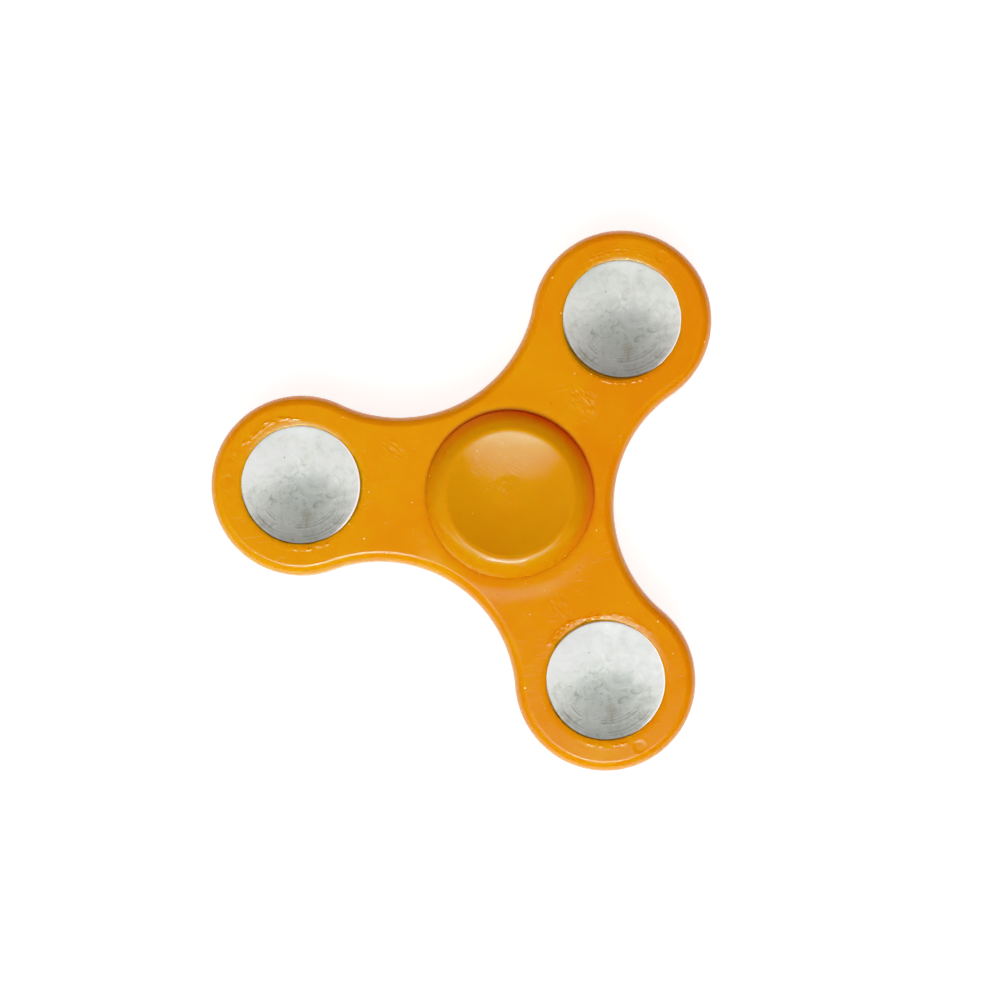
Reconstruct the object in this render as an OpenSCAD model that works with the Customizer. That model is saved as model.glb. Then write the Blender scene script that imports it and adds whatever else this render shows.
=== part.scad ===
// Three-lobed fidget spinner. A moulded body with pressed-in steel counterweights
// turns on a shielded ball bearing (608 size, 22 x 8 x 7 mm), whose inner ring is
// held between finger and thumb by two pressed-in caps.
// Frame: origin on the spin axis at the body's mid-plane, +Z along the spin axis
// towards the thumb cap, one finger gap centred on +X. All lengths in millimetres.

/* [Body] */
// Thickness of the moulded body
body_h = 8; // [7.6:0.1:8.2]
// Number of lobes, each with its own counterweight
lobe_count = 3; // [3:1:5]
// Distance from the spin axis to the centre of a lobe
lobe_pitch_r = 28.8; // [27:0.1:34]
// Radius of a lobe's round end
lobe_r = 12.5; // [12:0.1:13]
// Distance from the spin axis to the deepest point of a finger gap
waist_r = 14.5; // [14.2:0.1:16]
// Rounding of the body's outer edges
edge_r = 2; // [0.5:0.1:2.2]
// Rounding of the rim around each counterweight
rim_r = 0.6; // [0.3:0.1:0.9]

/* [Counterweights] */
// Radius of a counterweight, and of the hole that it is pressed into
weight_r = 8.5; // [7.5:0.1:8.6]
// Thickness of a counterweight at its edge
weight_h = 7.5; // [6.5:0.1:7.6]
// Depth of the shallow dish in each of its faces
weight_dish = 0.75; // [0.2:0.05:1.5]
// Rounding of its edges
weight_edge_r = 0.4; // [0.1:0.1:0.8]

/* [Bearing] */
// Outer radius of the outer ring
bearing_r = 11; // [10.9:0.05:11.1]
// Bore radius of the inner ring
bearing_bore_r = 4; // [3.5:0.1:4.1]
// Width of both rings
bearing_w = 7; // [6.9:0.1:7.3]
// Number of balls
ball_count = 7; // [6:1:8]
// Diameter of a ball
ball_d = 3.969; // [3.9:0.001:4]
// Distance from the spin axis to the centre of a ball
ball_pitch_r = 7.5; // [7.45:0.01:7.55]

/* [Caps] */
// Radius of a cap's flange
cap_r = 11.5; // [11.2:0.1:12]
// Overall thickness from crest to crest of the two caps
overall_h = 13; // [12.8:0.1:13.4]
// Air gap between a cap's flange and the face of the body
cap_gap = 0.4; // [0.3:0.05:0.4]
// Width of the rounded crown between the crest and the flange's outer wall
crown_w = 2.6; // [2:0.1:2.7]
// Radius of the crown's section
crown_r = 3; // [3:0.1:4]
// Depth of the finger dish
dish_depth = 1.25; // [0.5:0.05:1.5]

/* [Hidden] */
// Segments drawn in a full circle
$fn = 96;
// Length by which a cutting tool passes through a face
overcut = 1;

// Body: one lobe points along -X; a finger gap is round, tangent to both lobes beside it
half_h = body_h / 2;
half_step = 180 / lobe_count;
gap_r = (pow(lobe_pitch_r, 2) + pow(waist_r, 2) - pow(lobe_r, 2)
         - 2 * lobe_pitch_r * waist_r * cos(half_step))
        / (2 * (lobe_r - waist_r + lobe_pitch_r * cos(half_step)));
gap_pitch_r = waist_r + gap_r;
// Depth by which a gap's cutter bites into the lobes, so that the surfaces cross
gap_bite = 0.02;
// Lead-in chamfer of the bearing's seat
seat_chamfer = 0.5;
// Shallow ejector-pin mark on the outer side of each lobe
pin_mark_r = 0.8;
pin_mark_depth = 0.1;
pin_mark_offset = lobe_r - 2.3;

// Counterweight: narrow flat land between the edge rounding and the dish
weight_land = 0.1;
weight_dish_r = weight_r - weight_edge_r - weight_land;

// Bearing rings
ball_r = ball_d / 2;
ring_chamfer = 0.3;
ring_half_w = bearing_w / 2;
// Radial running clearance between a ball and each race
ball_clear = 0.015;
// A race's groove is a little wider than the ball: 52 % of its diameter
race_r = 0.52 * ball_d;
outer_race_pitch_r = ball_pitch_r + ball_r + ball_clear - race_r;
inner_race_pitch_r = ball_pitch_r - ball_r - ball_clear + race_r;
// Shoulders beside the grooves
shoulder_offset = 1.45;
outer_shoulder_r = ball_pitch_r + shoulder_offset;
inner_shoulder_r = ball_pitch_r - shoulder_offset;

// Shields: each is a dished plate that sits in a recess of the outer ring
recess_depth = 0.95;
recess_wall = 1.4;
recess_r = bearing_r - recess_wall;
seat_z = ring_half_w - recess_depth;
shield_t = 0.3;
shield_rise = 0.2;
shield_clear = 0.05;
shield_r = recess_r - shield_clear;
shield_bore_r = inner_shoulder_r + 0.2;
shield_flange_w = 0.6;
shield_slope_w = 0.3;

// Shield clips: sprung wire rings in a groove of the recess's wall
clip_wire_r = 0.25;
clip_clear = 0.02;
clip_bite = 0.15;
clip_pitch_r = recess_r + clip_bite - clip_wire_r;
clip_z = seat_z + shield_t + clip_wire_r + clip_clear;
clip_gap_angle = 14;

// Cage: two pressed ribbons with a pocket over each ball, closed by bent tabs
sheet_t = 0.33;
ribbon_half_w = 0.9;
ribbon_in_r = ball_pitch_r - ribbon_half_w;
ribbon_out_r = ball_pitch_r + ribbon_half_w;
pocket_clear = 0.095;
pocket_r = ball_r + pocket_clear;
pocket_outer_r = pocket_r + sheet_t;
tab_t = 0.22;
tab_clear = 0.03;
tab_root = 0.2;
tab_angle = 8;
ball_step = 360 / ball_count;

// Caps: flange, crowned edge, finger dish, boss against the inner ring, hollow stem
crest_z = overall_h / 2;
flange_z = half_h + cap_gap;
crest_r = cap_r - crown_w;
// Narrow flat land on the crest, which the spinner rests on
crest_land = 0.5;
dish_r = crest_r - crest_land;
boss_r = bearing_bore_r + 1.8;
stem_end_z = 0.3;
stem_chamfer = 0.3;
stem_core_r = 2.2;
stem_core_z = 3.9;

// Colours
orange = [0.91, 0.57, 0.03];
zinc = [0.80, 0.81, 0.78];
ring_steel = [0.62, 0.63, 0.65];
ball_steel = [0.75, 0.76, 0.78];
cage_steel = [0.70, 0.68, 0.62];
shield_steel = [0.55, 0.56, 0.58];
clip_steel = [0.42, 0.43, 0.45];

function lobe_angle(i) = 180 + 2 * half_step * (i - 1);
function gap_angle(i) = lobe_angle(i) + half_step;
function ball_angle(i) = ball_step * (i - 1);
function on_circle(r, angle) = [r * cos(angle), r * sin(angle)];
// Radius of the sphere that sinks a dish of radius r to the given depth
function dish_sphere_r(r, depth) = (pow(r, 2) + pow(depth, 2)) / (2 * depth);

// Half section of a disc with rounded edges
module disc_profile(r, half_t, fillet) {
    translate([0, -half_t]) square([r - fillet, 2 * half_t]);
    translate([0, fillet - half_t]) square([r, 2 * (half_t - fillet)]);
    for (side = [-1, 1])
        translate([r - fillet, side * (half_t - fillet)]) circle(fillet);
}

// Half section of a cutter that leaves rounded edges at both faces of a plate
module flared_profile(r, half_t, fillet) {
    difference() {
        translate([0, -half_t - overcut]) square([r + fillet, 2 * (half_t + overcut)]);
        translate([r, fillet - half_t]) square([2 * fillet, 2 * (half_t - fillet)]);
        for (side = [-1, 1])
            translate([r + fillet, side * (half_t - fillet)]) circle(fillet);
    }
}

// Half section of a ring with chamfered edges
module ring_profile(r_in, r_out, half_t, chamfer) {
    polygon([
        [r_in, chamfer - half_t], [r_in + chamfer, -half_t],
        [r_out - chamfer, -half_t], [r_out, chamfer - half_t],
        [r_out, half_t - chamfer], [r_out - chamfer, half_t],
        [r_in + chamfer, half_t], [r_in, half_t - chamfer]
    ]);
}

// The plate that joins the lobes: its corners are the centres of the lobes and gaps
module web() {
    linear_extrude(body_h, center = true)
        polygon([
            for (i = [1:lobe_count])
                each [
                    on_circle(lobe_pitch_r, lobe_angle(i)),
                    on_circle(gap_pitch_r, gap_angle(i))
                ]
        ]);
}

module lobe(i) {
    translate(on_circle(lobe_pitch_r, lobe_angle(i)))
        rotate_extrude() disc_profile(lobe_r, half_h, edge_r);
}

module finger_gap(i) {
    translate(on_circle(gap_pitch_r, gap_angle(i)))
        rotate_extrude() flared_profile(gap_r + gap_bite, half_h, edge_r);
}

module weight_hole(i) {
    translate(on_circle(lobe_pitch_r, lobe_angle(i)))
        rotate_extrude() flared_profile(weight_r, half_h, rim_r);
}

module bearing_seat() {
    rotate_extrude()
        polygon([
            [0, -half_h - overcut], [bearing_r + seat_chamfer + overcut, -half_h - overcut],
            [bearing_r, seat_chamfer - half_h], [bearing_r, half_h - seat_chamfer],
            [bearing_r + seat_chamfer + overcut, half_h + overcut], [0, half_h + overcut]
        ]);
}

module pin_mark(i) {
    translate(on_circle(lobe_pitch_r + pin_mark_offset, lobe_angle(i)))
        translate([0, 0, half_h - pin_mark_depth]) cylinder(h = overcut, r = pin_mark_r);
}

module spinner_body() {
    color(orange)
        difference() {
            union() {
                web();
                for (i = [1:lobe_count]) lobe(i);
            }
            for (i = [1:lobe_count]) finger_gap(i);
            bearing_seat();
            for (i = [1:lobe_count]) {
                weight_hole(i);
                pin_mark(i);
            }
        }
}

module counterweight(i) {
    sphere_r = dish_sphere_r(weight_dish_r, weight_dish);
    color(zinc)
        translate(on_circle(lobe_pitch_r, lobe_angle(i)))
            rotate_extrude()
                difference() {
                    disc_profile(weight_r, weight_h / 2, weight_edge_r);
                    for (side = [-1, 1])
                        translate([0, side * (weight_h / 2 - weight_dish + sphere_r)])
                            circle(sphere_r);
                }
}

module bearing_outer_ring() {
    color(ring_steel)
        rotate_extrude()
            difference() {
                ring_profile(outer_shoulder_r, bearing_r, ring_half_w, ring_chamfer);
                translate([outer_race_pitch_r, 0]) circle(race_r);
                for (side = [0, 1])
                    mirror([0, side]) {
                        translate([0, seat_z]) square([recess_r, recess_depth + overcut]);
                        translate([clip_pitch_r, clip_z]) circle(clip_wire_r + clip_clear);
                    }
            }
}

module bearing_inner_ring() {
    color(ring_steel)
        rotate_extrude()
            difference() {
                ring_profile(bearing_bore_r, inner_shoulder_r, ring_half_w, ring_chamfer);
                translate([inner_race_pitch_r, 0]) circle(race_r);
            }
}

module bearing_ball(i) {
    color(ball_steel) translate(on_circle(ball_pitch_r, ball_angle(i))) sphere(ball_r);
}

module over_each_ball() {
    for (i = [1:ball_count]) translate(on_circle(ball_pitch_r, ball_angle(i))) children();
}

// One pressed ribbon, with its flat side on the mid-plane
module cage_ribbon() {
    difference() {
        intersection() {
            rotate_extrude()
                translate([ribbon_in_r, 0]) square([2 * ribbon_half_w, pocket_outer_r + overcut]);
            union() {
                cylinder(h = sheet_t, r = ribbon_out_r + overcut);
                over_each_ball() sphere(pocket_outer_r);
            }
        }
        over_each_ball() sphere(pocket_r);
    }
}

// A tab that leaves the upper ribbon's edge and folds under the lower ribbon
module cage_tab() {
    foot_z = -sheet_t - tab_clear;
    leg_r = ribbon_out_r + tab_clear;
    rotate([0, 0, -tab_angle / 2])
        rotate_extrude(angle = tab_angle)
            polygon([
                [ribbon_out_r - tab_root, foot_z - tab_t], [leg_r + tab_t, foot_z - tab_t],
                [leg_r + tab_t, sheet_t], [ribbon_out_r - tab_root, sheet_t],
                [ribbon_out_r - tab_root, sheet_t / 2], [leg_r, sheet_t / 2],
                [leg_r, foot_z], [ribbon_out_r - tab_root, foot_z]
            ]);
}

module cage_upper_half() {
    color(cage_steel) {
        cage_ribbon();
        for (i = [1:ball_count]) rotate([0, 0, ball_angle(i) + ball_step / 2]) cage_tab();
    }
}

module cage_lower_half() {
    color(cage_steel) mirror([0, 0, 1]) cage_ribbon();
}

module shield(side) {
    slope_r = shield_r - shield_flange_w;
    plate_z = seat_z + shield_rise;
    color(shield_steel)
        mirror([0, 0, side])
            rotate_extrude()
                polygon([
                    [shield_bore_r, plate_z], [slope_r - shield_slope_w, plate_z],
                    [slope_r, seat_z], [shield_r, seat_z],
                    [shield_r, seat_z + shield_t], [slope_r, seat_z + shield_t],
                    [slope_r - shield_slope_w, plate_z + shield_t], [shield_bore_r, plate_z + shield_t]
                ]);
}

module shield_clip(side) {
    color(clip_steel)
        mirror([0, 0, side])
            rotate([0, 0, clip_gap_angle / 2])
                rotate_extrude(angle = 360 - clip_gap_angle)
                    translate([clip_pitch_r, clip_z]) circle(clip_wire_r);
}

// Half section of a cap: the crowned flange less its dish, then the boss and hollow stem
module cap_profile() {
    sphere_r = dish_sphere_r(dish_r, dish_depth);
    difference() {
        union() {
            translate([0, flange_z]) square([crest_r, crest_z - flange_z]);
            intersection() {
                translate([crest_r, crest_z - crown_r]) circle(crown_r);
                translate([crest_r, flange_z]) square([crown_w, crest_z - flange_z + overcut]);
            }
            translate([0, ring_half_w]) square([boss_r, flange_z - ring_half_w]);
            polygon([
                [0, stem_end_z], [bearing_bore_r - stem_chamfer, stem_end_z],
                [bearing_bore_r, stem_end_z + stem_chamfer], [bearing_bore_r, ring_half_w],
                [0, ring_half_w]
            ]);
        }
        translate([0, crest_z - dish_depth + sphere_r]) circle(sphere_r);
        translate([0, stem_end_z - overcut]) square([stem_core_r, stem_core_z - stem_end_z + overcut]);
    }
}

module cap(side) {
    color(orange) mirror([0, 0, side]) rotate_extrude() cap_profile();
}

spinner_body();
for (i = [1:lobe_count])
    counterweight(i);
bearing_outer_ring();
bearing_inner_ring();
for (i = [1:ball_count])
    bearing_ball(i);
cage_upper_half();
cage_lower_half();
shield(0);  // shield_upper
shield(1);  // shield_lower
shield_clip(0);  // shield_clip_upper
shield_clip(1);  // shield_clip_lower
cap(0);  // thumb_cap
cap(1);  // finger_cap
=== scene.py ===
"""Looks of a three-lobed fidget spinner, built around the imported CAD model.

The moulded body, the two caps and the three counterweights are rebuilt as finer meshes;
the parts of the ball bearing are the CAD nodes with their own metals.
Lengths are in millimetres until a mesh is made, and angles are in degrees unless a comment
says radians. The upper side of a piece is side 1, the lower side is side -1.
"""

import math

import bpy
import numpy as np
from mathutils import Matrix, Vector, geometry, noise


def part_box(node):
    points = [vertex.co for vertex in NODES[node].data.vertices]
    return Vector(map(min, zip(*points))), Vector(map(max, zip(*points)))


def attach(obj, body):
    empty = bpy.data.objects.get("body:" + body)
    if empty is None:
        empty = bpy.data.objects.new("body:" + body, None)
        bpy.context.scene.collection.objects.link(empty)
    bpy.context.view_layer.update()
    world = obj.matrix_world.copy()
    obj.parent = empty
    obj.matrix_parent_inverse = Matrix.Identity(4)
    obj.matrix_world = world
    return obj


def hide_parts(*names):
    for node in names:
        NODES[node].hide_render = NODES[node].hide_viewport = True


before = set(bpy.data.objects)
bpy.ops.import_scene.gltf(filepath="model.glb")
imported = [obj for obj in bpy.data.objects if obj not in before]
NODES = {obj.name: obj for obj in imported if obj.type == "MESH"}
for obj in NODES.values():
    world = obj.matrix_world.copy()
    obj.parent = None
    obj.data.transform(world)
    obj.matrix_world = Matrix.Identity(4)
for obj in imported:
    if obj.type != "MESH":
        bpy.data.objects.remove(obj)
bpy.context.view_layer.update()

MM = 0.001
LOBES = sorted(name for name in NODES if name.startswith("counterweight_"))
BALLS = [name for name in NODES if name.startswith("bearing_ball_")]


def box_mm(node):
    """Lowest and highest corner of a CAD node."""
    low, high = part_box(node)
    return low / MM, high / MM


def centre_of(node):
    low, high = box_mm(node)
    return (low + high) / 2


def radius_of(node):
    low, high = box_mm(node)
    return (high.x - low.x) / 2


# ---------------------------------------------------------------- sizes

BODY_LOW, BODY_HIGH = box_mm("spinner_body")
HALF_H = BODY_HIGH.z
LOBE_CENTRES = [centre_of(name) for name in LOBES]
LOBE_PITCH_R = LOBE_CENTRES[0].xy.length
LOBE_R = -BODY_LOW.x - LOBE_PITCH_R
WEIGHT_R = radius_of(LOBES[0])
WEIGHT_HALF_H = box_mm(LOBES[0])[1].z
SEAT_R = radius_of("bearing_outer_ring")
CAP_R = radius_of("thumb_cap")
CREST_Z = box_mm("thumb_cap")[1].z
STEM_END_Z = box_mm("thumb_cap")[0].z
RING_HALF_W = box_mm("bearing_inner_ring")[1].z
# Bore of the bearing, which the stems of the caps fill
BORE_R = 4.0

# The outline: lobes joined by round finger gaps that come within WAIST_R of the spin axis
WAIST_R = 14.5
HALF_STEP = math.radians(180 / len(LOBES))
GAP_R = (
    LOBE_PITCH_R**2 + WAIST_R**2 - LOBE_R**2 - 2 * LOBE_PITCH_R * WAIST_R * math.cos(HALF_STEP)
) / (2 * (LOBE_R - WAIST_R + LOBE_PITCH_R * math.cos(HALF_STEP)))
GAP_PITCH_R = WAIST_R + GAP_R

# Outer edges: a soft crease, then a round that runs into the wall
CREASE_R, CREASE_TILT = 0.5, 23.5
EDGE_R = 2.2
CREASE_SINE = math.sin(math.radians(CREASE_TILT))
EDGE_W = EDGE_R * (1 - CREASE_SINE) + CREASE_R * CREASE_SINE

# Rounded rim of each counterweight's hole, and the chamfer of the bearing's seat
RIM_R = 0.6
SEAT_CHAMFER = 0.5

# Edges that turn by more than this stay sharp
SHARP_ANGLE = 38


# ---------------------------------------------------------------- mesh helpers


def polar(radius, angle, centre=(0.0, 0.0)):
    """Point at an angle in radians on a circle round centre."""
    return (centre[0] + radius * math.cos(angle), centre[1] + radius * math.sin(angle))


def circle(radius, count):
    """Points spaced evenly round the spin axis."""
    return [polar(radius, 2 * math.pi * k / count) for k in range(count)]


def arc(centre, radius, start, end, count):
    """Points on an arc between two angles, both ends included."""
    steps = np.linspace(math.radians(start), math.radians(end), count + 1)
    return [polar(radius, a, centre) for a in steps]


def smoothstep(low, high, value):
    """Smooth rise from 0 at low to 1 at high."""
    t = min(1.0, max(0.0, (value - low) / (high - low)))
    return t * t * (3 - 2 * t)


def bell(away, width):
    """Smooth bump that is 1 in the middle and fades over width."""
    return math.exp(-((away / width) ** 2))


def wobble(x, y, size, seed=0.0):
    """Smooth noise from -1 to 1 whose patches are about size wide."""
    return noise.noise(Vector((x / size, y / size, seed)))


def to_mesh(name, points, faces):
    """Mesh in metres from points in millimetres."""
    mesh = bpy.data.meshes.new(name)
    mesh.from_pydata([[c * MM for c in p] for p in points], [], faces)
    return mesh


def new_piece(name, points, faces, body, replaces, at=(0, 0, 0)):
    """Smooth piece that rides on a body and takes the place of a CAD node."""
    mesh = to_mesh(name, points, faces)
    mesh.validate()
    mesh.shade_smooth()
    mesh.set_sharp_from_angle(angle=math.radians(SHARP_ANGLE))
    piece = bpy.data.objects.new(name, mesh)
    piece.location = Vector(at) * MM
    bpy.context.scene.collection.objects.link(piece)
    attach(piece, body)
    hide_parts(replaces)
    return piece


def strip(faces, first, second, flip=False):
    """Quads between two closed rings of vertex numbers of the same length."""
    count = len(first)
    for i in range(count):
        j = (i + 1) % count
        quad = (first[i], second[i], second[j], first[j])
        faces.append(quad[::-1] if flip else quad)


def lathe(profile, segments):
    """Closed solid from a half section that starts and ends on the axis, upper end first."""
    points, faces, rings = [], [], []
    for r, z in profile:
        first = len(points)
        on_axis = r < 1e-9
        points += [(0, 0, z)] if on_axis else [(x, y, z) for x, y in circle(r, segments)]
        rings.append(list(range(first, len(points))))
    for upper, lower in zip(rings, rings[1:]):
        if len(upper) == 1:
            faces += [(upper[0], lower[i], lower[(i + 1) % segments]) for i in range(segments)]
        elif len(lower) == 1:
            faces += [(lower[0], upper[(i + 1) % segments], upper[i]) for i in range(segments)]
        else:
            strip(faces, upper, lower)
    return points, faces


# ---------------------------------------------------------------- marks on the moulded body

# Lips of plastic pushed up when the counterweights were pressed in: for each lobe, the
# start and end of an arc, its distance from the hole's rim, its height and its width
LIPS = [
    [(96, 150, 0.3, 0.17, 0.16), (104, 154, 0.6, 0.15, 0.13), (92, 112, -0.1, 0.17, 0.16),
     (150, 205, 0.9, 0.035, 0.45), (255, 310, -0.25, 0.22, 0.12)],
    [(45, 155, -0.1, 0.2, 0.16), (60, 130, 0.25, 0.07, 0.14), (120, 152, 0.35, 0.18, 0.16),
     (245, 296, -0.25, 0.22, 0.12)],
    [(55, 130, 0.2, 0.07, 0.12), (62, 122, 0.6, 0.06, 0.12), (70, 112, 1.0, 0.05, 0.12),
     (250, 298, -0.25, 0.22, 0.12)],
]
# How far a lip strays from its arc, over what length, and how it breaks up into dashes
LIP_DRIFT, LIP_DRIFT_SIZE = 0.22, 2.4
DASH_BASE, DASH_SWING, DASH_SIZE = 0.35, 1.5, 0.62
# Slight roughness all round each hole, which ends at this distance from it
ROUGH_H, ROUGH_SIZE, ROUGH_END = 0.018, 0.5, 1.7

# Unevenness of the whole face, as height and size of the patches
UNEVEN = [(0.02, 11.0), (0.006, 3.5)]

# Faint swell of the face round the bearing's seat
SWELL_R, SWELL_W, SWELL_H = 12.6, 1.5, 0.15

# Ejector-pin marks on the outer side of each lobe. The wall of a mark runs from PIN_WALL_IN
# inside its radius to PIN_WALL_OUT outside it, and a faint raised border follows it.
PIN_R = 0.85
PIN_PITCH_R = LOBE_PITCH_R + (LOBE_R - 2.35)
PIN_DEPTHS = [0.03, 0.07, 0.06]
PIN_WALL_IN, PIN_WALL_OUT = 0.2, 0.1
PIN_BORDER_AT, PIN_BORDER_W, PIN_BORDER_SHARE = 0.2, 0.15, 0.2

# Rough gate marks at the root of each lobe: distance from the spin axis, angle from the
# lobe's own direction, depth
GATES = [(17.2, -19, 0.11), (16.9, -3, 0.05), (16.4, -5, 0.11)]
GATE_LONG, GATE_SHORT = 2.6, 1.6
GATE_GRAIN = 0.45


def lobe_direction(i):
    """Direction of lobe i from the spin axis, in radians."""
    return math.atan2(LOBE_CENTRES[i].y, LOBE_CENTRES[i].x)


GATE_PLACES = [
    polar(r, lobe_direction(i) + math.radians(turn)) for i, (r, turn, _) in enumerate(GATES)
]


def lip_height(i, radius, angle, side):
    """Height of the pushed-up plastic round hole i, at an angle from +X.

    The lower side has the lips of the next lobe, mirrored."""
    seed = 10.0 * i + 3.0 * side
    x, y = polar(radius, math.radians(angle))
    total = 0.0
    for start, end, offset, height, width in LIPS[i] if side > 0 else LIPS[(i + 1) % 3]:
        middle, half = (start + end) / 2, (end - start) / 2
        off = (angle - side * middle + 180) % 360 - 180
        mask = 1 - smoothstep(half * 0.75, half, abs(off))
        if mask <= 0:
            continue
        drift = LIP_DRIFT * wobble(x, y, LIP_DRIFT_SIZE, seed + offset)
        dashes = max(0.0, DASH_BASE + DASH_SWING * wobble(x, y, DASH_SIZE, seed + 5 * offset))
        total += mask * height * dashes * bell(radius - WEIGHT_R - RIM_R - offset + drift, width)
    rough = ROUGH_H * wobble(x, y, ROUGH_SIZE, seed + 1)
    return total + rough * (1 - smoothstep(RIM_R, ROUGH_END, radius - WEIGHT_R))


def pin_mark(i, x, y):
    """Height that the ejector-pin mark of lobe i adds to the face."""
    pin = polar(PIN_PITCH_R, lobe_direction(i))
    away = math.hypot(x - pin[0], y - pin[1])
    if away >= 2 * PIN_R:
        return 0.0
    sunk = 1 - smoothstep(PIN_R - PIN_WALL_IN, PIN_R + PIN_WALL_OUT, away)
    border = bell(away - PIN_R - PIN_BORDER_AT, PIN_BORDER_W)
    return PIN_DEPTHS[i] * (PIN_BORDER_SHARE * border - sunk)


def gate_mark(i, x, y):
    """Height that the rough gate mark of lobe i adds to the face."""
    dx, dy = x - GATE_PLACES[i][0], y - GATE_PLACES[i][1]
    u, v = (dx - dy) / math.sqrt(2), (dx + dy) / math.sqrt(2)
    inside = 1 - smoothstep(0.5, 1.0, math.hypot(u / GATE_LONG, v / GATE_SHORT))
    if inside <= 0:
        return 0.0
    return inside * GATES[i][2] * wobble(0.5 * u, 1.5 * v, GATE_GRAIN, 20 + i)


def relief(x, y, side):
    """Height that moulding and assembly marks add to the body's face."""
    height = sum(h * wobble(x, y, size, 4 * k + side) for k, (h, size) in enumerate(UNEVEN))
    height += SWELL_H * bell(math.hypot(x, y) - SWELL_R, SWELL_W)
    for i, centre in enumerate(LOBE_CENTRES):
        dx, dy = x - centre.x, y - centre.y
        radius = math.hypot(dx, dy)
        if radius < LOBE_R:
            height += lip_height(i, radius, math.degrees(math.atan2(dy, dx)), side)
        if side > 0:
            height += pin_mark(i, x, y) + gate_mark(i, x, y)
    return height


# ---------------------------------------------------------------- moulded body

LOBE_STEPS = 168
GAP_STEPS = 66
CREASE_STEPS, FILLET_STEPS = 5, 14
HOLE_STEPS, RIM_STEPS = 312, 8

# The mould's draft, and the ridge where its halves met
DRAFT = 0.03
RIDGE_H, RIDGE_HALF_W = 0.03, 0.1

# Thin curl of plastic that leans over the counterweight's rounded edge. Its tip reaches
# inwards by CURL_REACH, wavers by CURL_UNEVEN and stays back by CURL_BACK towards the hub.
CURL_REACH = 0.36
CURL_Z = HALF_H - 0.22
CURL_UNEVEN, CURL_UNEVEN_SIZE = 0.07, 0.9
CURL_BACK = 0.34

# Fine rings round each hole, out to LAND_OUTER
LAND_SPACING = 0.115
LAND_OUTER = LOBE_R - EDGE_W - 0.2

# Points on the rest of the face, closer together at the gate marks
FACE_SPACING, GATE_SPACING = 0.55, 0.17

# Depths below the face over which its relief fades on the outer edge and on the seat's chamfer
EDGE_FADE, SEAT_FADE = 0.4, 0.1


def outline(inset):
    """The body's outline, anticlockwise, moved inwards by inset."""
    half_lobe = math.atan2(
        GAP_PITCH_R * math.sin(HALF_STEP), GAP_PITCH_R * math.cos(HALF_STEP) - LOBE_PITCH_R
    )
    half_gap = half_lobe - HALF_STEP
    points = []
    for i in range(len(LOBES)):
        along = lobe_direction(i)
        for a in np.linspace(-half_lobe, half_lobe, LOBE_STEPS + 1)[:-1]:
            points.append(polar(LOBE_R - inset, along + a, LOBE_CENTRES[i].xy))
        across = along + HALF_STEP
        gap_centre = polar(GAP_PITCH_R, across)
        for a in np.linspace(half_gap, -half_gap, GAP_STEPS + 1)[:-1]:
            points.append(polar(GAP_R + inset, across + math.pi + a, gap_centre))
    return points


def inside_outline(x, y, inset):
    """True if a point lies inside the outline moved inwards by inset."""
    if any(math.hypot(x - c.x, y - c.y) < LOBE_R - inset for c in LOBE_CENTRES):
        return True
    for i in range(len(LOBES)):
        gap_centre = polar(GAP_PITCH_R, lobe_direction(i) + HALF_STEP)
        if math.hypot(x - gap_centre[0], y - gap_centre[1]) < GAP_R + inset:
            return False
    # Inside the star whose corners are the centres of the lobes and of the gaps
    radius, angle = math.hypot(x, y), math.atan2(y, x)
    off = abs((angle - lobe_direction(0)) % (2 * HALF_STEP) - HALF_STEP)
    px, py = polar(radius, HALF_STEP - off)
    gx, gy = polar(GAP_PITCH_R, HALF_STEP)
    return (gx - LOBE_PITCH_R) * py - gy * (px - LOBE_PITCH_R) > 0


def edge_section():
    """The outer wall as (inset, z) from face to face: crease, round, drafted wall, parting ridge."""
    tilt = math.radians(CREASE_TILT)
    crease = [
        (EDGE_W - CREASE_R * math.sin(t), HALF_H - CREASE_R * (1 - math.cos(t)))
        for t in np.linspace(0, tilt, CREASE_STEPS + 1)
    ]
    round_z = crease[-1][1] - EDGE_R * math.cos(tilt)
    edge = [
        (EDGE_R * (1 - math.sin(t)), round_z + EDGE_R * math.cos(t))
        for t in np.linspace(tilt, math.pi / 2, FILLET_STEPS + 1)[1:]
    ]
    upper = [(inset + DRAFT, z) for inset, z in crease + edge]
    half = upper + [(DRAFT, RIDGE_HALF_W), (DRAFT - RIDGE_H, 0.0)]
    return half + [(inset, -z) for inset, z in half[-2::-1]]


def land_section():
    """A hole's wall, curl, rim and flat land as (distance from the hole's radius, z)."""
    under = [(0.0, CURL_Z - 0.1), (0.0, CURL_Z), (-CURL_REACH * 0.8, CURL_Z - 0.01)]
    tip_r, top_r = WEIGHT_R - CURL_REACH, WEIGHT_R + RIM_R
    rim = []
    for t in np.linspace(0, math.pi / 2, RIM_STEPS + 1):
        r = tip_r + (top_r - tip_r) * (1 - math.cos(t))
        rim.append((r - WEIGHT_R, CURL_Z + (HALF_H - CURL_Z) * math.sin(t)))
    flat_r = np.arange(top_r + LAND_SPACING, LAND_OUTER + 1e-6, LAND_SPACING)
    return under + rim + [(r - WEIGHT_R, HALF_H) for r in flat_r]


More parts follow.
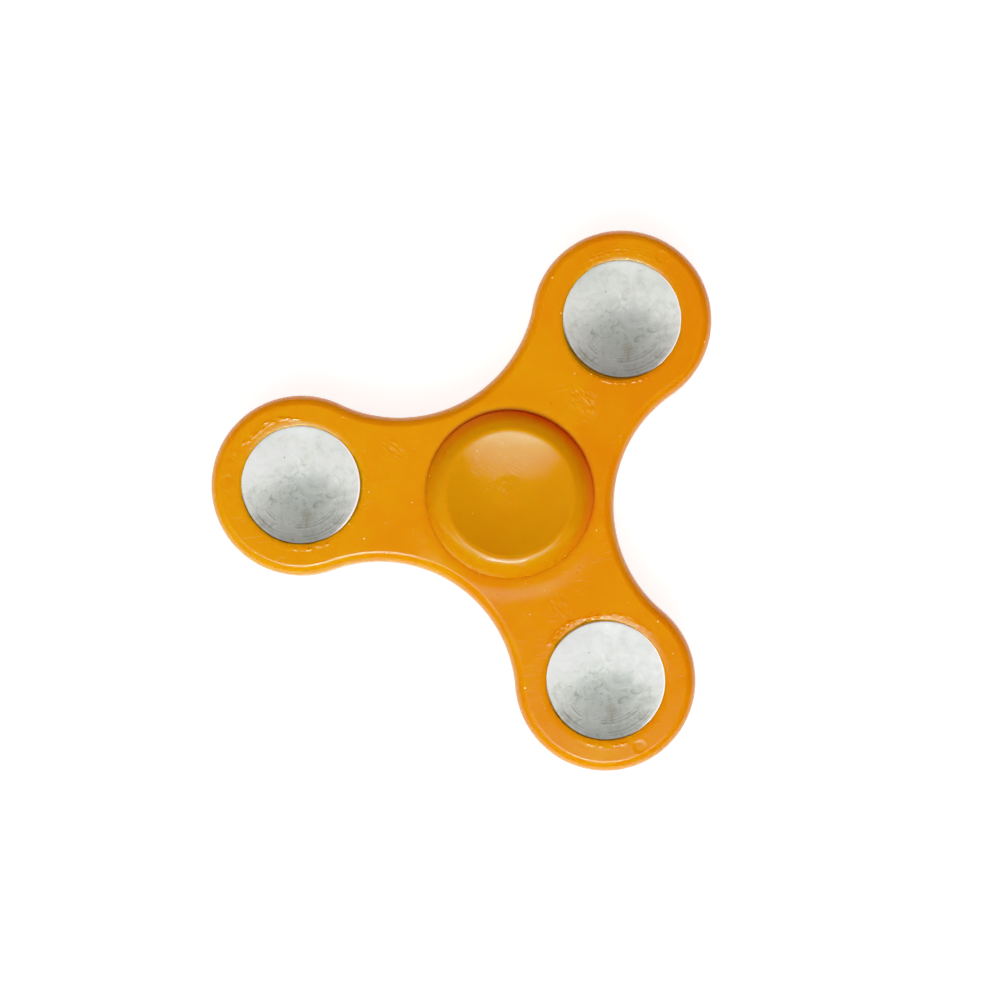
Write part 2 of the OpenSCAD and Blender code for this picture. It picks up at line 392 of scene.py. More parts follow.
def hole_ring(i, side, out, z):
    """Points round hole i at a distance out from its radius; the curl's tip is uneven."""
    centre = LOBE_CENTRES[i].xy
    share = 1 - smoothstep(0, RIM_R, out) if z >= CURL_Z else 0.0
    flat = []
    for k in range(HOLE_STEPS):
        angle = 2 * math.pi * k / HOLE_STEPS
        uneven = wobble(*polar(WEIGHT_R, angle, centre), CURL_UNEVEN_SIZE, 30 + side)
        hubward = max(0.0, -math.cos(angle - lobe_direction(i))) ** 3
        r = WEIGHT_R + out + (CURL_UNEVEN * uneven + CURL_BACK * hubward) * share
        flat.append(polar(r, angle, centre))
    return flat


def clear_of(rounds, x, y, gap):
    """True if a point keeps a gap from every round border, given as centres and radii."""
    return all(math.hypot(x - c[0], y - c[1]) >= r + gap for c, r in rounds)


def face_points(rounds):
    """Points that fill the flat face: a staggered grid, and rings at the gate marks."""
    found = []
    reach = LOBE_PITCH_R + LOBE_R
    count = int(reach / FACE_SPACING)
    for row in range(-count, count + 1):
        y = row * (FACE_SPACING * math.sqrt(3) / 2)
        for column in range(-count, count + 1):
            x = (column + (row % 2) / 2) * FACE_SPACING
            if not inside_outline(x, y, EDGE_W + DRAFT + FACE_SPACING * 0.55):
                continue
            if not clear_of(rounds, x, y, FACE_SPACING * 0.6):
                continue
            if not any(math.dist((x, y), gate) < GATE_LONG for gate in GATE_PLACES):
                found.append((x, y))
    for gate in GATE_PLACES:
        for r in np.arange(GATE_SPACING / 2, GATE_LONG, GATE_SPACING):
            on_ring = int(2 * math.pi * r / GATE_SPACING)
            for k in range(on_ring):
                x, y = polar(r, 2 * math.pi * k / on_ring + r, gate)
                if clear_of(rounds, x, y, GATE_SPACING):
                    found.append((x, y))
    return found


class BodyMesh:
    """The moulded body while it is put together, one closed ring of vertices at a time."""

    def __init__(self):
        self.points, self.faces = [], []
        # Rings of vertex numbers that border the upper face and the lower face
        self.borders = {1: [], -1: []}
        # The round ones among them, as centre and radius
        self.rounds = []

    def ring(self, flat, z, side, relief_share):
        """Adds a ring that takes the given share of the face's relief."""
        first = len(self.points)
        for x, y in flat:
            lift = relief_share * side * relief(x, y, side) if relief_share else 0.0
            self.points.append((x, y, z + lift))
        return list(range(first, len(self.points)))

    def add_wall(self):
        walls = []
        for inset, z in edge_section():
            relief_share = 1 - smoothstep(0, EDGE_FADE, HALF_H - abs(z))
            walls.append(self.ring(outline(inset), z, 1 if z > 0 else -1, relief_share))
        for upper, lower in zip(walls, walls[1:]):
            strip(self.faces, upper, lower)
        self.borders[1].append(walls[0])
        self.borders[-1].append(walls[-1])

    def add_hole(self, i):
        """The hole of counterweight i, with the land round it on both faces."""
        walls = {}
        for side in (1, -1):
            rings = []
            for out, z in land_section():
                relief_share = smoothstep(CURL_Z, HALF_H, z)
                rings.append(self.ring(hole_ring(i, side, out, z), side * z, side, relief_share))
            for inner, outer in zip(rings, rings[1:]):
                strip(self.faces, outer, inner, flip=side > 0)
            self.borders[side].append(rings[-1])
            walls[side] = rings[0]
        strip(self.faces, walls[1], walls[-1], flip=True)
        self.rounds.append((LOBE_CENTRES[i].xy, LAND_OUTER))

    def add_seat(self):
        """The bearing's seat, chamfered at both ends."""
        chamfer_r = SEAT_R + SEAT_CHAMFER
        walls = {}
        for side in (1, -1):
            rings = []
            for r, z in ((SEAT_R, HALF_H - SEAT_CHAMFER), (chamfer_r, HALF_H)):
                relief_share = smoothstep(HALF_H - SEAT_FADE, HALF_H, z)
                rings.append(self.ring(circle(r, HOLE_STEPS), side * z, side, relief_share))
            strip(self.faces, rings[1], rings[0], flip=side > 0)
            self.borders[side].append(rings[1])
            walls[side] = rings[0]
        strip(self.faces, walls[1], walls[-1], flip=True)
        self.rounds.append(((0, 0), chamfer_r))

    def fill_face(self, side, filling):
        """Triangles between a face's borders, through the points of filling."""
        borders = self.borders[side]
        known = [v for border in borders for v in border]
        owner = [b for b, border in enumerate(borders) for _ in border]
        flat = [Vector(self.points[v][:2]) for v in known] + [Vector(p) for p in filling]
        edges, start = [], 0
        for border in borders:
            count = len(border)
            edges += [(start + k, start + (k + 1) % count) for k in range(count)]
            start += count
        first = len(self.points)
        self.points += [(x, y, side * (HALF_H + relief(x, y, side))) for x, y in filling]
        numbers = known + list(range(first, len(self.points)))
        made = geometry.delaunay_2d_cdt(flat, edges, [], 0, 1e-7)
        source = [origin[0] for origin in made[3]]
        for triangle in made[2]:
            a, b, c = (source[v] for v in triangle)
            # A triangle between three points of one border covers a hole or a finger gap
            if max(a, b, c) < len(known) and owner[a] == owner[b] == owner[c]:
                continue
            corners = (numbers[a], numbers[b], numbers[c])
            self.faces.append(corners if side > 0 else corners[::-1])


def spinner_body():
    body = BodyMesh()
    body.add_wall()
    for i in range(len(LOBES)):
        body.add_hole(i)
    body.add_seat()
    filling = face_points(body.rounds)
    for side in (1, -1):
        body.fill_face(side, filling)
    return new_piece(
        "moulded_body", body.points, body.faces, "rotor", "spinner_body"
    )


# ---------------------------------------------------------------- round dishes

DISH_STEPS = 32


def sphere_radius(dish_r, depth):
    """Radius of the sphere that a dish of this radius and depth is cut with."""
    return (dish_r**2 + depth**2) / (2 * depth)


def hollow(sphere_r, centre_z, start_r, end_r):
    """Section of a dish between two distances from its axis."""
    tilts = np.linspace(math.asin(start_r / sphere_r), math.asin(end_r / sphere_r), DISH_STEPS + 1)
    return [(sphere_r * math.sin(t), centre_z - sphere_r * math.cos(t)) for t in tilts]


# ---------------------------------------------------------------- caps

# Finger dish, with a flat middle and a crest round it
DISH_R, DISH_DEPTH = 8.4, 1.25
DISH_SPHERE_R = sphere_radius(DISH_R, DISH_DEPTH)
MIDDLE_R = 2.6
CREST_R, CREST_ROUND = 8.8, 1.1
CREST_CENTRE = (CREST_R, CREST_Z - CREST_ROUND)

# Tilts of the slope outside the crest, at its start and at its end
CREST_TILT, SLOPE_END_TILT = 24, 51
WALL_ROUND, FOOT_ROUND = 0.15, 0.1

# Gap between the body and the cap, then the boss and the hollow stem
CAP_GAP = 0.4
BOSS_R = 5.8
STEM_CHAMFER = 0.3
CORE_R, CORE_Z = 2.2, 3.9
CAP_STEPS = 256
CREST_STEPS, SLOPE_STEPS, CORNER_STEPS, FOOT_STEPS = 24, 20, 8, 4


def dish_section(rim_tilt):
    """From the axis out to the crest; rim_tilt, in radians, is the dish's slope at its rim."""
    rim_r, rim_z = polar(CREST_ROUND, math.pi / 2 + rim_tilt, CREST_CENTRE)
    centre_z = rim_z + DISH_SPHERE_R * math.cos(rim_tilt)
    dish = hollow(DISH_SPHERE_R, centre_z, MIDDLE_R, rim_r)
    middle_z = dish[0][1]
    return [(0, middle_z), (MIDDLE_R - 0.5, middle_z)] + dish


def crown_section(rim_tilt):
    """Over the crest, down the slope and round the corner to the side wall."""
    start, end = 90 - CREST_TILT, 90 - SLOPE_END_TILT
    over = arc(CREST_CENTRE, CREST_ROUND, 90 + math.degrees(rim_tilt), start, CREST_STEPS)[1:]
    corner_r = CAP_R - WALL_ROUND
    slope_end_r = corner_r + WALL_ROUND * math.cos(math.radians(end))
    turned = math.cos(math.radians(end)) - math.cos(math.radians(start))
    slope_r = (slope_end_r - over[-1][0]) / turned
    slope_centre = polar(slope_r, math.radians(start) + math.pi, over[-1])
    slope = arc(slope_centre, slope_r, start, end, SLOPE_STEPS)[1:]
    corner_z = slope[-1][1] - WALL_ROUND * math.cos(math.radians(SLOPE_END_TILT))
    corner = arc((corner_r, corner_z), WALL_ROUND, end, 0, CORNER_STEPS)[1:]
    return over + slope + corner


def stem_section():
    """From the foot of the side wall, along the boss and the stem, to the end of the core."""
    flange_z = HALF_H + CAP_GAP
    foot = arc((CAP_R - FOOT_ROUND, flange_z + FOOT_ROUND), FOOT_ROUND, 0, -90, FOOT_STEPS)
    return foot + [
        (BOSS_R, flange_z),
        (BOSS_R, RING_HALF_W),
        (BORE_R, RING_HALF_W),
        (BORE_R, STEM_END_Z + STEM_CHAMFER),
        (BORE_R - STEM_CHAMFER, STEM_END_Z),
        (CORE_R, STEM_END_Z),
        (CORE_R, CORE_Z),
        (0, CORE_Z),
    ]


def cap(name, node, side):
    rim_tilt = math.asin(DISH_R / DISH_SPHERE_R)
    profile = dish_section(rim_tilt) + crown_section(rim_tilt) + stem_section()
    points, faces = lathe(profile, CAP_STEPS)
    if side < 0:
        points = [(x, y, -z) for x, y, z in points]
        faces = [f[::-1] for f in faces]
    return new_piece(name, points, faces, "hub", node)


# ---------------------------------------------------------------- counterweights

WEIGHT_EDGE_R = 0.4
WEIGHT_DISH_R, WEIGHT_DISH = WEIGHT_R - WEIGHT_EDGE_R - 0.1, 0.75
WEIGHT_STEPS = 256
WEIGHT_EDGE_STEPS = 8


def weight_profile():
    """Half section of a counterweight: a disc with rounded edges and a dish in each face."""
    sphere_r = sphere_radius(WEIGHT_DISH_R, WEIGHT_DISH)
    centre_z = WEIGHT_HALF_H - WEIGHT_DISH + sphere_r
    corner = (WEIGHT_R - WEIGHT_EDGE_R, WEIGHT_HALF_H - WEIGHT_EDGE_R)
    upper = hollow(sphere_r, centre_z, 0, WEIGHT_DISH_R)
    upper += arc(corner, WEIGHT_EDGE_R, 90, 0, WEIGHT_EDGE_STEPS)
    return upper + [(r, -z) for r, z in upper[::-1]]


def counterweight(i):
    points, faces = lathe(weight_profile(), WEIGHT_STEPS)
    name = f"turned_weight_{i + 1}"
    return new_piece(
        name, points, faces, "rotor", LOBES[i], at=LOBE_CENTRES[i]
    )


# ---------------------------------------------------------------- node helpers


class Graph:
    """The node tree of a material or a world, with short calls for the nodes used here."""

    def __init__(self, owner, coordinates="Object"):
        owner.use_nodes = True
        self.owner = owner
        self.tree = owner.node_tree
        self.place = self.add("ShaderNodeTexCoord").outputs[coordinates]

    def add(self, kind, **inputs):
        node = self.tree.nodes.new(kind)
        for name, value in inputs.items():
            self.put(node.inputs[name.replace("_", " ")], value)
        return node

    def put(self, socket, value):
        if isinstance(value, bpy.types.NodeSocket):
            self.tree.links.new(value, socket)
        else:
            socket.default_value = value

    def axes(self):
        """X, Y and Z of the shaded point."""
        return tuple(self.add("ShaderNodeSeparateXYZ", Vector=self.place).outputs)

    def joined(self, **axes):
        """A vector made of the given axes; the others are 0."""
        return self.add("ShaderNodeCombineXYZ", **axes).outputs[0]

    def radius(self):
        """Distance from the piece's own Z axis."""
        x, y, _ = self.axes()
        node = self.add("ShaderNodeVectorMath", Vector=self.joined(X=x, Y=y))
        node.operation = "LENGTH"
        return node.outputs["Value"]

    def distance_from(self, point):
        """Distance from a point of the piece."""
        node = self.add("ShaderNodeVectorMath", Vector=self.place)
        node.operation = "DISTANCE"
        node.inputs[1].default_value = tuple(c * MM for c in point)
        return node.outputs["Value"]

    def stretched(self, factor, degrees):
        """Coordinates in which a texture is drawn out by factor along a direction in the XY plane."""
        node = self.add("ShaderNodeMapping", Vector=self.place)
        node.vector_type = "TEXTURE"
        node.inputs["Scale"].default_value = (factor, 1, 1)
        node.inputs["Rotation"].default_value = (0, 0, math.radians(degrees))
        return node.outputs["Vector"]

    def noise(self, size_mm, detail=2.0, rough=0.5, vector=None, distort=0.0):
        """Noise from 0 to 1 whose patches are about size_mm wide."""
        node = self.add("ShaderNodeTexNoise", Vector=vector or self.place)
        node.inputs["Scale"].default_value = 1 / (size_mm * MM)
        node.inputs["Detail"].default_value = detail
        node.inputs["Roughness"].default_value = rough
        node.inputs["Distortion"].default_value = distort
        return node.outputs["Fac"]

    def remap(self, value, low, high, to_low=0.0, to_high=1.0):
        """Smooth passage from to_low to to_high while value goes from low to high."""
        node = self.add("ShaderNodeMapRange", Value=value)
        node.interpolation_type = "SMOOTHSTEP"
        node.inputs["From Min"].default_value = low
        node.inputs["From Max"].default_value = high
        node.inputs["To Min"].default_value = to_low
        node.inputs["To Max"].default_value = to_high
        return node.outputs["Result"]

    def remap_mm(self, value, low, high, to_low=0.0, to_high=1.0):
        """The same for a length, with its marks in millimetres."""
        return self.remap(value, low * MM, high * MM, to_low, to_high)

    def math(self, operation, a, b):
        node = self.add("ShaderNodeMath")
        node.operation = operation
        self.put(node.inputs[0], a)
        self.put(node.inputs[1], b)
        return node.outputs[0]

    def plus(self, a, b):
        return self.math("ADD", a, b)

    def times(self, a, b):
        return self.math("MULTIPLY", a, b)

    def mix(self, share, a, b):
        """Colour a with a share of colour b."""
        node = self.add("ShaderNodeMix")
        node.data_type = "RGBA"
        self.put(node.inputs[0], share)
        self.put(node.inputs[6], a)
        self.put(node.inputs[7], b)
        return node.outputs[2]

    def bump(self, height, distance_mm, under=None):
        """Normal bent by a height, on top of the bumps already under it."""
        node = self.add("ShaderNodeBump", Height=height)
        node.inputs["Distance"].default_value = distance_mm * MM
        if under:
            self.put(node.inputs["Normal"], under)
        return node.outputs["Normal"]

    def finish(self, shader="Principled BSDF", **sockets):
        """Sets the shader's own sockets and gives back the material or the world."""
        for name, value in sockets.items():
            self.put(self.tree.nodes[shader].inputs[name.replace("_", " ")], value)
        return self.owner


def specks(g, size_mm, rarity):
    """Mask of small specks about size_mm wide; a rarity nearer to 1 leaves fewer of them."""
    return g.remap(g.noise(2.5 * size_mm, detail=0), rarity, rarity + 0.03)


def scratches(g, length_mm, width_mm, degrees, rarity):
    """Mask of fine scratches that run along one direction."""
    along = g.stretched(length_mm / width_mm, degrees)
    return g.remap(g.noise(width_mm, detail=0, vector=along), rarity, rarity + 0.05)


# ---------------------------------------------------------------- plastic

# Colours of a moulding: pale, deep and streaked
BODY_COLOURS = (0.55, 0.222, 0.0012, 1), (0.54, 0.182, 0.0006, 1), (0.505, 0.152, 0.0006, 1)
CAP_COLOURS = (0.475, 0.216, 0.0012, 1), (0.465, 0.192, 0.0008, 1), (0.435, 0.162, 0.0008, 1)
# Painted shade: deep red in the gap between the body and a cap
PAINTED_GAP_SHADE_RED = (0.52, 0.075, 0.0004, 1)
DUST_PALE, DUST_DARK = (0.95, 0.75, 0.35, 1), (0.25, 0.06, 0.002, 1)
SCRATCH_PALE = (0.80, 0.42, 0.10, 1)

BODY_GLOSS, CAP_GLOSS = 0.22, 0.19
# Distances from the spin axis at which the painted red shade in the gap between body and cap starts
# and is full
BODY_GAP_SHADE = (CAP_R + 0.6, CAP_R + 0.05)
CAP_GAP_SHADE = (CAP_R - 1.9, CAP_R)
# Middle and radius of the scuffed patches
BODY_SCUFF, BODY_SCUFF_R = (9.5, 12.5, HALF_H), 3.0
CAP_SCUFF, CAP_SCUFF_R = (-1.6, 3.6, CREST_Z), 5.5


def moulded_colour(g, colours):
    """Cloudy base colour with flow streaks, paler towards the back and the left."""
    pale, deep, streak = colours
    x, y, _ = g.axes()
    drift = g.remap_mm(g.math("SUBTRACT", g.times(y, 0.5), x), -22, 22, -0.17, 0.17)
    cloudy = g.plus(g.noise(13, detail=3), drift)
    colour = g.mix(g.remap(cloudy, 0.35, 0.65), deep, pale)
    flow = g.noise(5, detail=4, rough=0.6, distort=0.6)
    return g.mix(g.remap(flow, 0.55, 0.8, 0, 0.4), colour, streak)


def painted_gap_shade(g, gap_shade):
    """Mask of painted shade in the gap between the body and a cap, deeper at the back."""
    x, y, _ = g.axes()
    gap_shaded = g.remap_mm(g.radius(), *gap_shade)
    across = g.plus(y, g.times(x, 0.5))
    return g.times(gap_shaded, g.remap_mm(across, -7, 9, 0.2, 0.85))


def wear_marks(g, scuffed_at, scuffed_r):
    """Mask of scratches: many in the scuffed patch, a few stray ones elsewhere."""
    patch = g.remap_mm(g.distance_from(scuffed_at), scuffed_r, 0.5 * scuffed_r)
    long_marks = scratches(g, 2.6, 0.13, -32, 0.63)
    short_marks = scratches(g, 0.9, 0.12, 35, 0.69)
    worn = g.times(g.math("MAXIMUM", long_marks, short_marks), patch)
    seldom = g.remap(g.noise(8, detail=1), 0.55, 0.65)
    stray = g.times(scratches(g, 2.2, 0.14, 12, 0.7), seldom)
    return g.math("MAXIMUM", worn, g.times(stray, 0.5))


def plastic(name, colours, gloss, gap_shade, scuffed_at, scuffed_r):
    """Semi-gloss moulded plastic with painted red shade at the bearing's seam, dust and one scuffed
    patch.
    """
    g = Graph(bpy.data.materials.new(name))
    gap_shaded = painted_gap_shade(g, gap_shade)
    marks = wear_marks(g, scuffed_at, scuffed_r)
    colour = g.mix(gap_shaded, moulded_colour(g, colours), PAINTED_GAP_SHADE_RED)
    colour = g.mix(specks(g, 0.15, 0.865), colour, DUST_PALE)
    colour = g.mix(specks(g, 0.13, 0.875), colour, DUST_DARK)
    colour = g.mix(g.times(marks, 0.14), colour, SCRATCH_PALE)
    rough = g.remap(g.noise(2.2, detail=4), 0.3, 0.7, gloss - 0.03, gloss + 0.05)
    rough = g.plus(rough, g.times(marks, 0.12))
    rough = g.plus(rough, g.times(gap_shaded, 0.3))
    normal = g.bump(g.noise(2.1, detail=2), 0.014)
    normal = g.bump(g.noise(0.4, detail=3), 0.002, normal)
    normal = g.bump(marks, -0.008, normal)
    return g.finish(
        Base_Color=colour, Roughness=rough, Specular_IOR_Level=0.4, Normal=normal,
        Subsurface_Weight=0.7, Subsurface_Scale=0.001, Subsurface_Radius=(1.0, 0.4, 0.1),
    )


# ---------------------------------------------------------------- metals

# Colour of the plate at its brighter rim, and the painted shade that darkens its middle
ZINC, ZINC_PAINTED_SHADE = (0.6, 0.62, 0.595, 1), (0.33, 0.355, 0.335, 1)
# Painted shade that darkens the back and the front of a counterweight's face
ZINC_PAINTED_BACK_SHADE, ZINC_PAINTED_FRONT_SHADE = (0.41, 0.425, 0.405, 1), (0.25, 0.27, 0.255, 1)
SQUIGGLE_GREY, STAIN_BROWN = (0.20, 0.225, 0.195, 1), (0.26, 0.245, 0.19, 1)
SPECK_DARK, RING_GREY = (0.10, 0.10, 0.09, 1), (0.19, 0.21, 0.19, 1)
# Painted highlight on the right-hand edge, and painted shade in the crevice at the plastic
PAINTED_RIM_HIGHLIGHT, PAINTED_CREVICE_SHADE = (0.82, 0.76, 0.73, 1), (0.40, 0.09, 0.004, 1)
# Painted shade along the front edge
PAINTED_EDGE_SHADE = (0.12, 0.055, 0.02, 1)

# Middle of the painted shade on a counterweight's face, and where the curl of plastic covers it
PAINTED_SHADE_AT = (0.3, -3.3, WEIGHT_HALF_H)
COVERED_R = WEIGHT_R - CURL_REACH


def shaded_plate(g, patches):
    """Colour of the plate with painted shade on its middle, back and front, and the mask of its dirt.
    """
    _, y, _ = g.axes()
    middle_shade = g.plus(g.distance_from(PAINTED_SHADE_AT), g.times(patches, 6 * MM))
    middle_shade = g.remap_mm(middle_shade, 4.2, 13.4)
    colour = g.mix(middle_shade, ZINC_PAINTED_SHADE, ZINC)
    colour = g.mix(g.remap_mm(y, 0.5, 6.5, 0, 0.9), colour, ZINC_PAINTED_BACK_SHADE)
    colour = g.mix(g.remap_mm(y, -5.2, -8.2, 0, 0.75), colour, ZINC_PAINTED_FRONT_SHADE)
    return colour, g.remap(middle_shade, 0.1, 0.9, 1.0, 0.25)


def turning_arcs(g):
    """Pieces of the rings left by turning, on the front part of the face."""
    _, y, _ = g.axes()
    rings = g.noise(0.32, detail=2, vector=g.joined(X=g.radius()))
    arcs = g.times(rings, g.remap(g.noise(5, detail=1), 0.42, 0.6))
    return g.times(arcs, g.remap_mm(y, -1.5, -4.5))


def weight_border(g, colour):
    """Adds a painted highlight on the right edge, painted shade at the seam with the plastic, and
    painted shade along the front edge.
    """
    x, y, _ = g.axes()
    radius = g.radius()
    rim_highlight = g.remap_mm(radius, COVERED_R - 0.2, COVERED_R - 0.1)
    colour = g.mix(g.times(rim_highlight, g.remap_mm(x, 3, 7)), colour, PAINTED_RIM_HIGHLIGHT)
    gap_shade = g.remap_mm(radius, COVERED_R - 0.04, COVERED_R + 0.1)
    colour = g.mix(gap_shade, colour, PAINTED_CREVICE_SHADE)
    front_edge_shade = g.remap_mm(radius, COVERED_R - 0.22, COVERED_R - 0.06)
    across = g.plus(y, g.times(x, 0.4))
    return g.mix(g.times(front_edge_shade, g.remap_mm(across, -2.5, -7.5)), colour, PAINTED_EDGE_SHADE)


def turned_zinc():
    """Dull zinc plate: painted shade darkens its mottled middle, back and front against a brighter
    rim; stains, turning rings; a painted highlight and painted shade at its edge.
    """
    g = Graph(bpy.data.materials.new("turned_zinc"))
    patches = g.noise(2.4, detail=7, rough=0.72, distort=1.4)
    fine = g.noise(1.7, detail=5, rough=0.68, distort=1.6)
    stain = g.noise(3.6, detail=4, rough=0.6, distort=0.5)
    arcs = turning_arcs(g)
    colour, dirty = shaded_plate(g, patches)
    colour = g.mix(g.times(g.remap(fine, 0.52, 0.68, 0, 0.65), dirty), colour, SQUIGGLE_GREY)
    colour = g.mix(g.times(g.remap(stain, 0.56, 0.68, 0, 0.6), dirty), colour, STAIN_BROWN)
    colour = g.mix(specks(g, 0.2, 0.86), colour, SPECK_DARK)
    colour = g.mix(g.remap(arcs, 0.4, 0.6, 0, 0.4), colour, RING_GREY)
    colour = weight_border(g, colour)
    rough = g.remap(patches, 0.25, 0.75, 0.7, 0.58)
    normal = g.bump(fine, 0.012, g.bump(arcs, 0.04))
    return g.finish(Base_Color=colour, Metallic=1.0, Roughness=rough, Normal=normal)


def steel(name, colour, rough, grain_mm, grain_height, ringed=True):
    """A bearing steel: turning or rolling marks, faint staining and an oil-dulled gloss."""
    g = Graph(bpy.data.materials.new(name))
    _, _, z = g.axes()
    rings = g.joined(X=g.radius(), Y=z)
    marks = g.noise(grain_mm, detail=3, vector=rings if ringed else None)
    darker = tuple(c * 0.72 for c in colour) + (1,)
    tint = g.mix(g.remap(g.noise(1.8, detail=4), 0.35, 0.7), darker, colour + (1,))
    gloss = g.remap(marks, 0.3, 0.7, rough * 0.8, rough * 1.25)
    normal = g.bump(marks, grain_height)
    return g.finish(Base_Color=tint, Metallic=1.0, Roughness=gloss, Normal=normal)


def give(material, *names):
    """Makes a material the only one of the named pieces."""
    for name in names:
        target = bpy.data.objects[name]
        target.data.materials.clear()
        target.data.materials.append(material)


# ---------------------------------------------------------------- build the pieces

spinner_body()
cap("thumb_cap_shell", "thumb_cap", 1)
cap("finger_cap_shell", "finger_cap", -1)
for i in range(len(LOBES)):
    counterweight(i)

give(
    plastic("orange_plastic", BODY_COLOURS, BODY_GLOSS, BODY_GAP_SHADE, BODY_SCUFF, BODY_SCUFF_R),
    "moulded_body",
)
give(
    plastic("ochre_plastic", CAP_COLOURS, CAP_GLOSS, CAP_GAP_SHADE, CAP_SCUFF, CAP_SCUFF_R),
    "thumb_cap_shell", "finger_cap_shell",
)
give(turned_zinc(), *(f"turned_weight_{i + 1}" for i in range(len(LOBES))))
give(
    steel("ground_steel", (0.56, 0.57, 0.58), 0.22, grain_mm=0.25, grain_height=0.002),
    "bearing_outer_ring", "bearing_inner_ring",
)
give(
    steel("polished_steel", (0.72, 0.73, 0.74), 0.06, 0.5, 0.0004, ringed=False),
    *BALLS,
)
give(
    steel("pressed_steel", (0.50, 0.50, 0.49), 0.3, grain_mm=0.3, grain_height=0.003),
    "cage_upper_half", "cage_lower_half", "shield_upper", "shield_lower",
)
give(
    steel("spring_wire", (0.34, 0.34, 0.35), 0.28, grain_mm=0.12, grain_height=0.002),
    "shield_clip_upper", "shield_clip_lower",
)


# ---------------------------------------------------------------- studio

FLOOR_R, FLOOR_STEPS = 2500, 96
FLOOR_GREY, FLOOR_GLOW = 0.4, 0.93


def floor():
    """A wide white sheet that the lower cap rests on; its own glow lifts it to plain white."""
    rim = [(x, y, -CREST_Z) for x, y in circle(FLOOR_R, FLOOR_STEPS)]
    mesh = to_mesh("floor", rim, [list(range(FLOOR_STEPS))])
    sheet = bpy.data.objects.new("floor", mesh)
    bpy.context.scene.collection.objects.link(sheet)
    g = Graph(bpy.data.materials.new("floor_paper"))
    paper = g.finish(
        Base_Color=(FLOOR_GREY, FLOOR_GREY, FLOOR_GREY, 1), Roughness=0.9,
        Specular_IOR_Level=0.1, Emission_Color=(1, 1, 1, 1), Emission_Strength=FLOOR_GLOW,
    )
    sheet.data.materials.append(paper)


LIGHT_DISTANCE = 700


def softbox(name, azimuth, zenith, wide, tall, radiance, tint=(1, 1, 1), shape="RECTANGLE"):
    """Area light seen from the origin at the given angles, with the given angular size."""
    a, t = math.radians(azimuth), math.radians(zenith)
    towards = Vector((math.sin(t) * math.cos(a), math.sin(t) * math.sin(a), math.cos(t)))
    data = bpy.data.lights.new(name, "AREA")
    data.shape = shape
    data.size = 2 * LIGHT_DISTANCE * MM * math.tan(math.radians(wide / 2))
    data.size_y = 2 * LIGHT_DISTANCE * MM * math.tan(math.radians(tall / 2))
    data.energy = radiance * math.pi * data.size * data.size_y
    data.color = tint
    light = bpy.data.objects.new(name, data)
    light.location = towards * LIGHT_DISTANCE * MM
    light.rotation_euler = towards.to_track_quat("Z", "Y").to_euler()
    light.visible_camera = False
    bpy.context.scene.collection.objects.link(light)


# Radiance of the surrounding tent: behind the object, at the sides and in front of it
TENT_BACK, TENT_SIDE, TENT_FRONT = 0.36, 1.05, 0.62
# Sine of the elevation above which the tent is open, and where its cloth begins
TENT_OPEN, TENT_CLOTH = 0.97, 0.8
TENT_TOP = 0.75
# Its share left at the horizon, and on the right-hand side
TENT_LOW, TENT_RIGHT = 0.3, 0.35


def tent():
    """A pale tent round the object, dimmer straight above where the camera looks in."""
    world = bpy.data.worlds.new("tent")
    bpy.context.scene.world = world
    g = Graph(world, "Generated")
    x, y, z = g.axes()
    towards_front = g.remap(y, 0.0, -0.8, TENT_SIDE, TENT_FRONT)
    towards_back = g.remap(y, 0.0, 0.7, 1.0, TENT_BACK / TENT_SIDE)
    shade = g.times(towards_front, towards_back)
    shade = g.times(shade, g.remap(z, TENT_CLOTH, TENT_OPEN, 1.0, TENT_TOP))
    shade = g.times(shade, g.remap(z, 0.1, 0.6, TENT_LOW, 1.0))
    shade = g.times(shade, g.remap(x, 0.0, 0.8, 1.0, TENT_RIGHT))
    g.finish("Background", Color=shade)


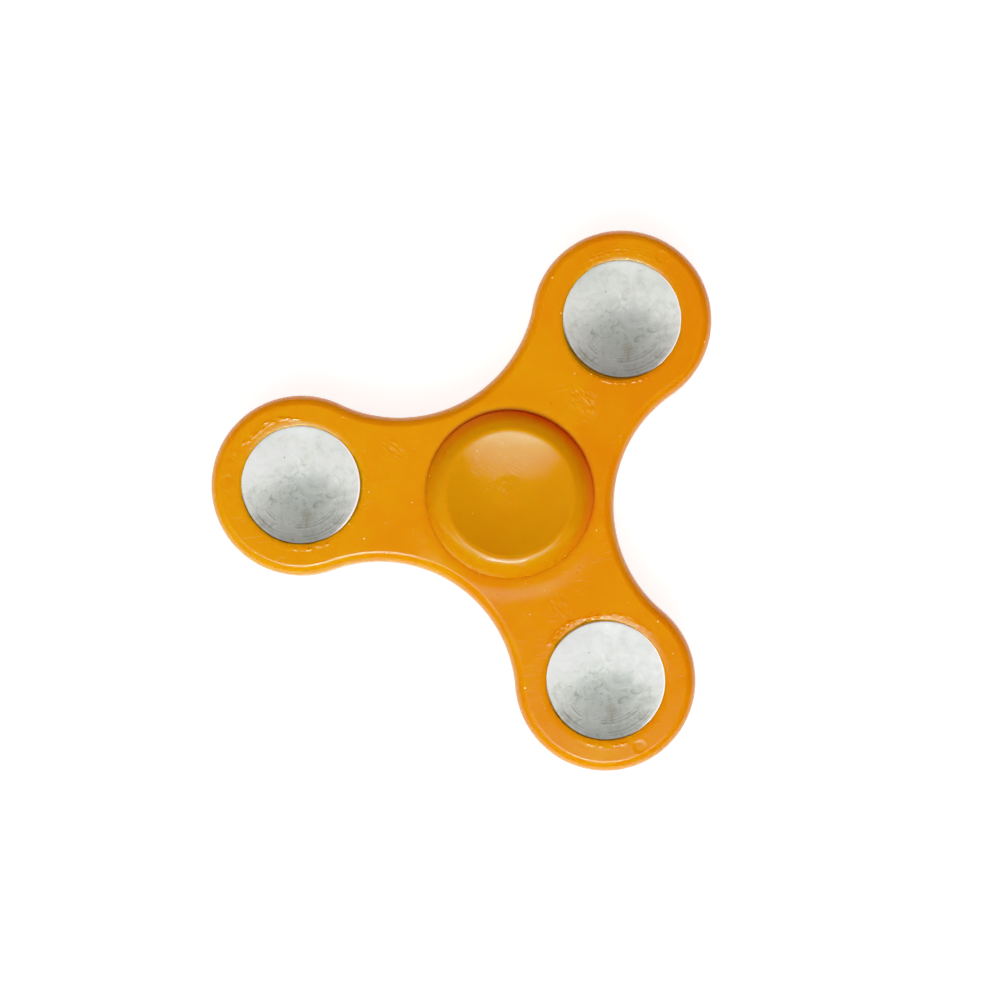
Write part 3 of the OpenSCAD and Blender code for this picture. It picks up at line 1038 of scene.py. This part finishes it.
def studio():
    """A narrow key light in front, panels above it that fade upwards, and a warm bounce."""
    front, back = -90, 90
    softbox("key", front, 46, wide=26, tall=3.5, radiance=60)
    softbox("long_strip", front, 45, wide=120, tall=4, radiance=4.5)
    softbox("key_panel", front, 32, wide=60, tall=14, radiance=5.0, shape="ELLIPSE")
    softbox("middle_panel", front, 22, wide=50, tall=15, radiance=1.9, shape="ELLIPSE")
    softbox("low_panel", front, 13, wide=42, tall=13, radiance=1.3, shape="ELLIPSE")
    softbox("warm_bounce", back, 70, wide=100, tall=22, radiance=1.4, tint=(1, 0.2, 0.04))
    tent()


# Width of the picture at the spin axis, and the point of the XY plane it is aimed at
FRAME_WIDTH = 139.0
AIM = (-1.30, -0.62)
LENS, SENSOR = 100, 36
CAMERA_TILT, CAMERA_ROLL = 1.6, 2.66
# Distances in metres between which the camera sees
CLIP_NEAR, CLIP_FAR = 0.01, 10


def camera():
    """Almost straight down, from slightly in front, with the object turned a little in the frame."""
    data = bpy.data.cameras.new("camera")
    data.lens = LENS
    data.sensor_width = SENSOR
    data.clip_start = CLIP_NEAR
    data.clip_end = CLIP_FAR
    view = bpy.data.objects.new("camera", data)
    turn = Matrix.Rotation(math.radians(CAMERA_ROLL), 4, "Z")
    tilt = Matrix.Rotation(math.radians(CAMERA_TILT), 4, "X")
    back = Matrix.Translation((0, 0, FRAME_WIDTH * LENS / SENSOR * MM))
    aim = Matrix.Translation(Vector((*AIM, 0)) * MM)
    view.matrix_world = turn @ aim @ tilt @ back
    bpy.context.scene.collection.objects.link(view)
    bpy.context.scene.camera = view


# Tone curve as (scene, picture) marks: blacks a little crushed, brightest tones rolled off
TOE, FOOT = (0.04, 0.004), (0.1, 0.088)
SHOULDER, TOP, WHITE = (0.74, 0.74), (1.0, 0.86), (1.2, 1.0)
COMBINED_CURVE = 3


def film_response():
    """Plain colours with the toe and the shoulder of a camera's own tone curve."""
    settings = bpy.context.scene.view_settings
    settings.view_transform = "Standard"
    settings.use_curve_mapping = True
    mapping = settings.curve_mapping
    mapping.extend = "EXTRAPOLATED"
    curve = mapping.curves[COMBINED_CURVE]
    mapping.clip_max_x = WHITE[0]
    curve.points[-1].location = WHITE
    for mark in (TOE, FOOT, SHOULDER, TOP):
        curve.points.new(*mark)
    for point in curve.points:
        point.handle_type = "VECTOR"
    mapping.update()


floor()
studio()
camera()
film_response()
